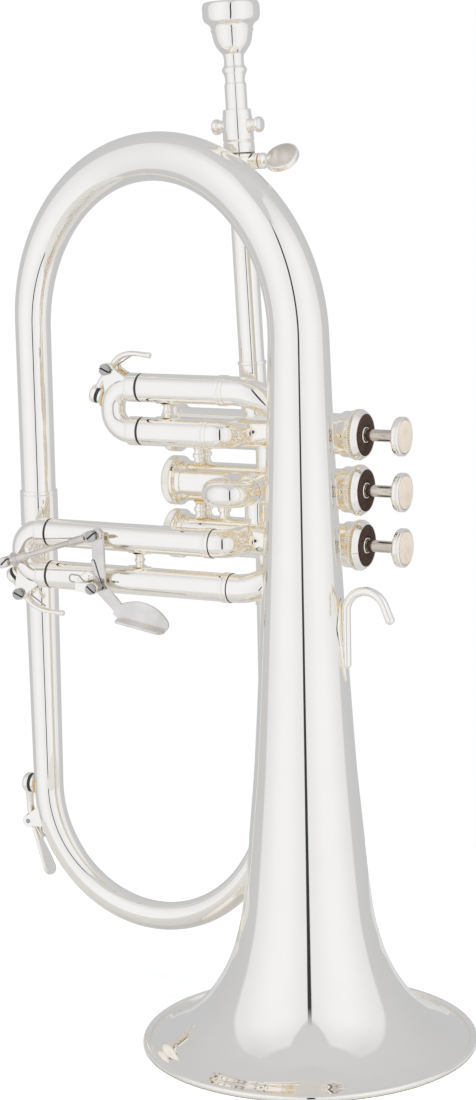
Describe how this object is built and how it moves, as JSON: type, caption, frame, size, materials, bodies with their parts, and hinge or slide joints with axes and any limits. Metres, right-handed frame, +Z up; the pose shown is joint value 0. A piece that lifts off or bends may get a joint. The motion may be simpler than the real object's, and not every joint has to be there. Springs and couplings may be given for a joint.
{
  "type": "flugelhorn",
  "caption": "Silver-plated flugelhorn with piston valves, water keys, pull-out tuning slides, a trigger for the third slide and a mouthpiece in a sliding mouthpipe.",
  "frame": {"origin": "middle of the plane that the bell's rim rests on, on the bell's axis; the horn stands on its bell mouth", "axes": "+Z up the bell's axis, from the rim to the top bow and mouthpiece; +X the way the finger buttons face; -Y the side that the tuning slides are on"},
  "size_m": [0.2448, 0.1524, 0.4663],
  "materials": {
    "silver_plate": "polished silver plate",
    "monel": "lapped nickel alloy",
    "satin_nickel": "satin nickel",
    "spring_steel": "bright steel",
    "black_cork": "matte black",
    "felt": "dark brown felt",
    "pearl": "mother-of-pearl, polished"
  },
  "bodies": {
    "horn": {"bell_flare": "silver_plate", "bell_bow": "silver_plate", "lower_bow": "silver_plate", "valve_casing_1": "silver_plate", "valve_casing_2": "silver_plate", "valve_casing_3": "silver_plate", "bottom_caps": "silver_plate", "top_caps": "silver_plate", "valve_knuckles": "silver_plate", "third_valve_port": "silver_plate", "first_slide_tubes": "silver_plate", "third_slide_tubes": "silver_plate", "second_slide_tubes": "silver_plate", "leadpipe": "silver_plate", "leadpipe_clamp": "silver_plate", "ferrules": "silver_plate", "bow_key_saddle": "silver_plate", "finger_hook": "silver_plate", "braces": "silver_plate", "trigger_bracket": "satin_nickel", "valve_spring_1": "spring_steel", "valve_spring_2": "spring_steel", "valve_spring_3": "spring_steel", "bow_key_pin": "spring_steel", "trigger_spring": "spring_steel", "top_felts": "felt"},
    "valve_1": {"piston_1": "monel", "finger_button_1": "silver_plate", "pearl_1": "pearl"},
    "valve_2": {"piston_2": "monel", "finger_button_2": "silver_plate", "pearl_2": "pearl"},
    "valve_3": {"piston_3": "monel", "finger_button_3": "silver_plate", "pearl_3": "pearl"},
    "first_slide": {"first_slide_crook": "silver_plate", "first_slide_legs": "silver_plate", "first_slide_o_rings": "black_cork", "first_key_saddle": "silver_plate", "first_key_screw": "spring_steel", "first_key_spring": "spring_steel"},
    "first_key": {"first_key_lever": "silver_plate", "first_key_cork": "black_cork"},
    "second_slide": {"second_slide_crook": "silver_plate"},
    "third_slide": {"third_slide_crook": "silver_plate", "third_slide_legs": "silver_plate", "third_slide_o_rings": "black_cork", "third_key_saddle": "silver_plate", "third_key_screw": "spring_steel", "third_key_spring": "spring_steel", "rod_lug": "satin_nickel"},
    "third_key": {"third_key_lever": "silver_plate", "third_key_cork": "black_cork"},
    "trigger_lever": {"trigger_lever": "satin_nickel"},
    "trigger_rod": {"trigger_rod": "satin_nickel"},
    "mouthpipe": {"mouthpipe": "silver_plate"},
    "mouthpiece": {"mouthpiece": "silver_plate"},
    "lock_screw": {"lock_screw": "silver_plate"},
    "bow_key": {"bow_key_lever": "silver_plate", "bow_key_cork": "black_cork"}
  },
  "joints": [
    {"name": "valve_1_press", "type": "slide", "parent": "horn", "child": "valve_1", "axis": [-1, 0, 0], "range_m": [0, 0.0145], "stiffness_N_per_m": 180, "springref_m": -0.015, "deforming": ["valve_spring_1"]},
    {"name": "valve_2_press", "type": "slide", "parent": "horn", "child": "valve_2", "axis": [-1, 0, 0], "range_m": [0, 0.0145], "stiffness_N_per_m": 180, "springref_m": -0.015, "deforming": ["valve_spring_2"]},
    {"name": "valve_3_press", "type": "slide", "parent": "horn", "child": "valve_3", "axis": [-1, 0, 0], "range_m": [0, 0.0145], "stiffness_N_per_m": 180, "springref_m": -0.015, "deforming": ["valve_spring_3"]},
    {"name": "first_slide_pull", "type": "slide", "parent": "horn", "child": "first_slide", "axis": [-1, 0, 0], "range_m": [0, 0.03]},
    {"name": "second_slide_pull", "type": "slide", "parent": "horn", "child": "second_slide", "axis": [0, -1, 0], "range_m": [0, 0.01]},
    {"name": "third_slide_pull", "type": "slide", "parent": "horn", "child": "third_slide", "axis": [-1, 0, 0], "range_m": [0, 0.012], "stiffness_N_per_m": 100, "springref_m": -0.02},
    {"name": "trigger_lever_turn", "type": "hinge", "parent": "horn", "child": "trigger_lever", "pos_m": [-0.1055, 0.001, 0.2025], "axis": [0, -1, 0], "range_deg": [0, 28]},
    {"name": "trigger_rod_turn", "type": "hinge", "parent": "third_slide", "child": "trigger_rod", "pos_m": [-0.1538, -0.0032, 0.2115], "axis": [0, 1, 0], "range_deg": [0, 3]},
    {"name": "mouthpipe_tune", "type": "slide", "parent": "horn", "child": "mouthpipe", "axis": [-0.0454, 0, 0.999], "range_m": [0, 0.02]},
    {"name": "lock_screw_turn", "type": "hinge", "parent": "horn", "child": "lock_screw", "pos_m": [-0.04278, 0.03, 0.39518], "axis": [0.999, 0, 0.0454], "range_deg": [0, 180]},
    {"name": "mouthpiece_pull", "type": "slide", "parent": "mouthpipe", "child": "mouthpiece", "axis": [-0.0454, 0, 0.999], "range_m": [0, 0.03]},
    {"name": "first_key_open", "type": "hinge", "parent": "first_slide", "child": "first_key", "pos_m": [-0.1015, 0.01, 0.3027], "axis": [0, 1, 0], "range_deg": [0, 12], "stiffness_Nm_per_rad": 0.06, "springref_deg": -20.05},
    {"name": "third_key_open", "type": "hinge", "parent": "third_slide", "child": "third_key", "pos_m": [-0.1529, 0.01, 0.1947], "axis": [0, -1, 0], "range_deg": [0, 12], "stiffness_Nm_per_rad": 0.06, "springref_deg": -20.05},
    {"name": "bow_key_open", "type": "hinge", "parent": "horn", "child": "bow_key", "pos_m": [-0.1656, 0.03, 0.0765], "axis": [0, -1, 0], "range_deg": [0, 15], "stiffness_Nm_per_rad": 0.08, "springref_deg": -20.05}
  ],
  "couplings": [
    {"joint": "trigger_lever_turn", "follows": "third_slide_pull", "rad_per_m": 39.86},
    {"joint": "trigger_rod_turn", "follows": "third_slide_pull", "rad_per_m": 4.13}
  ]
}
